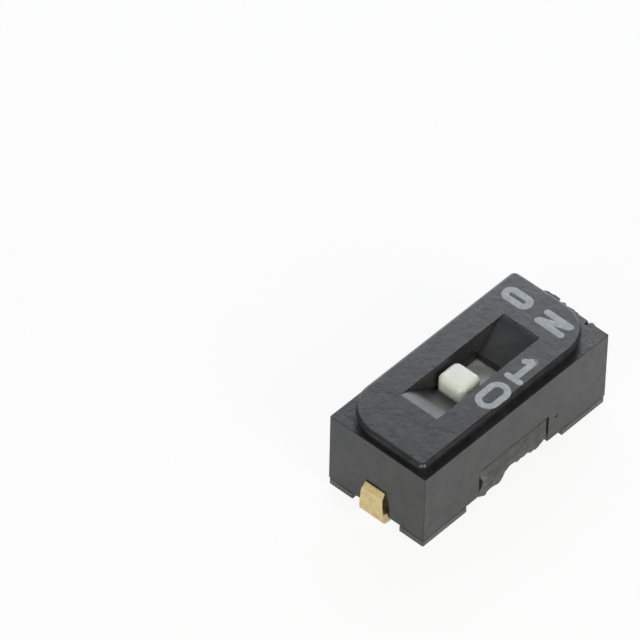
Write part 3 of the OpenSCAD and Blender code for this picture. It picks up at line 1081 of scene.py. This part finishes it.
def contact_leaf():
    """A leaf with split, curled fingers at both ends and a hole for the post."""
    flat_z = PLATE_LOW - LEAF_T / 2
    touch_z = PAD_TOP + LEAF_LIFT + LEAF_T / 2
    arm = bent([(0, flat_z), (0.36, flat_z), (0.62, touch_z), (0.76, touch_z + 0.09)], (0.12, 0.12))
    leaf = metal_strip("contact_arm", arm, lambda point: (-PAD_X, PAD_X), LEAF_T, 0.012)
    block("slot", (-0.04, 0.36, 0.5), (0.04, 2, 2))
    boolean(leaf, shape_done(), "DIFFERENCE")
    boolean(leaf, turned(leaf, "other_arm"), "UNION")
    hole = (0, 0, flat_z)
    bpy.ops.object.select_all(action="DESELECT")
    bpy.ops.mesh.primitive_cylinder_add(vertices=32, radius=HOLE_R, depth=1, location=hole)
    boolean(leaf, bpy.context.object, "DIFFERENCE")
    only(leaf)
    leaf.location = (0, REST_Y, 0)
    bpy.ops.object.transform_apply()
    return leaf


leaf = contact_leaf()
finish_piece(leaf, CONTACT_GOLD, "slider", "contact_gold", "moving_contact")

# %% [markdown]
# The marks lie flat on the raised top: ON beside the far end of the recess, and a 1 and a 0 on the
# right rim, which say which way is closed. Each stroke is a line drawn with a round pen: a curve
# with a bevel, made a mesh and pressed flat. The film fills the hair's breadth by which the cover
# was modelled too low, so that the whole switch keeps its height. The marks could be a pattern in
# the cover's material, but as meshes they keep sharp outlines however close the camera comes.

# %% Helpers: printed strokes
CAP_SIDES, OVAL_SIDES = 24, 28


def stroke(points, width, closed=False):
    """A line with round ends, drawn with a round pen and pressed flat on the raised top."""
    line = bpy.data.curves.new("stroke", "CURVE")
    line.dimensions = "3D"
    line.bevel_depth = width / 2
    line.bevel_resolution = 4
    run = line.splines.new("POLY")
    run.points.add(len(points) - 1)
    for spot, (x, y) in zip(run.points, points):
        spot.co = (x, y, 0, 1)
    run.use_cyclic_u = closed
    drawn = bpy.data.objects.new("stroke", line)
    scene.collection.objects.link(drawn)
    only(drawn)
    bpy.ops.object.convert(target="MESH")
    drawn = bpy.context.object
    shapes = [drawn]
    for x, y in () if closed else (points[0], points[-1]):
        bpy.ops.object.select_all(action="DESELECT")
        bpy.ops.mesh.primitive_uv_sphere_add(
            segments=CAP_SIDES, ring_count=CAP_SIDES // 2, radius=width / 2, location=(x, y, 0)
        )
        shapes.append(bpy.context.object)
    join(*shapes)
    bpy.ops.object.transform_apply()
    bpy.ops.object.mode_set(mode="EDIT")
    bpy.ops.mesh.select_all(action="SELECT")
    half = 1.2 * INK_T
    bpy.ops.transform.resize(value=(1, 1, 2 * half / width), center_override=(0, 0, 0))
    bpy.ops.transform.translate(value=(0, 0, TOP_Z - half))
    return shape_done()


def oval(middle, half_x, half_y):
    """Points round a slot-shaped ring: straight along its longer way, round at its ends."""
    radius = min(half_x, half_y)
    points = []
    for i in range(OVAL_SIDES):
        a = 2 * math.pi * i / OVAL_SIDES
        x, y = radius * math.cos(a), radius * math.sin(a)
        x += math.copysign(half_x - radius, x) if half_x > radius else 0
        y += math.copysign(half_y - radius, y) if half_y > radius else 0
        points.append((middle[0] + x, middle[1] + y))
    return points


def printed(name, *strokes):
    """Joins the strokes of one character and gives it the ink."""
    mark = join(*strokes)
    mark.name = name
    finish_piece(mark, PRINTING_INK, "housing", "slider_plastic")


# %% [markdown]
# The letters lie on their sides as seen along the switch: their tops point away from the right
# rim. The O is a slot-shaped ring, longer than it is wide, and the N is three strokes with round
# ends. The 1, with its flag and foot, and the 0, which is a ring again, read from the OFF end.

# %% Printed marks
printed("printed_O", stroke(oval((-0.565, 2.02), 0.28, 0.125), 0.165, closed=True))
printed(
    "printed_N",
    stroke([(0.13, 1.85), (0.72, 1.84)], 0.16),
    stroke([(0.15, 1.88), (0.7, 2.1)], 0.15),
    stroke([(0.13, 2.14), (0.72, 2.13)], 0.16),
)
printed(
    "printed_1",
    stroke([(0.84, 0.32), (0.84, 0.95)], 0.15),
    stroke([(0.69, 0.82), (0.84, 0.95)], 0.15),
    stroke([(0.69, 0.32), (0.99, 0.32)], 0.15),
)
printed("printed_0", stroke(oval((0.84, -0.29), 0.19, 0.33), 0.15, closed=True))

# %% [markdown]
# Last, the corners of the frame and of the finished pieces are printed side by side, in
# millimetres.

# %% Sizes of the frame and of the finished pieces
visual_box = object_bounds()
for corner, cad, seen in zip(("low", "high"), cad_box, visual_box):
    print(corner, [round(v / MM, 4) for v in cad], [round(v / MM, 4) for v in seen])
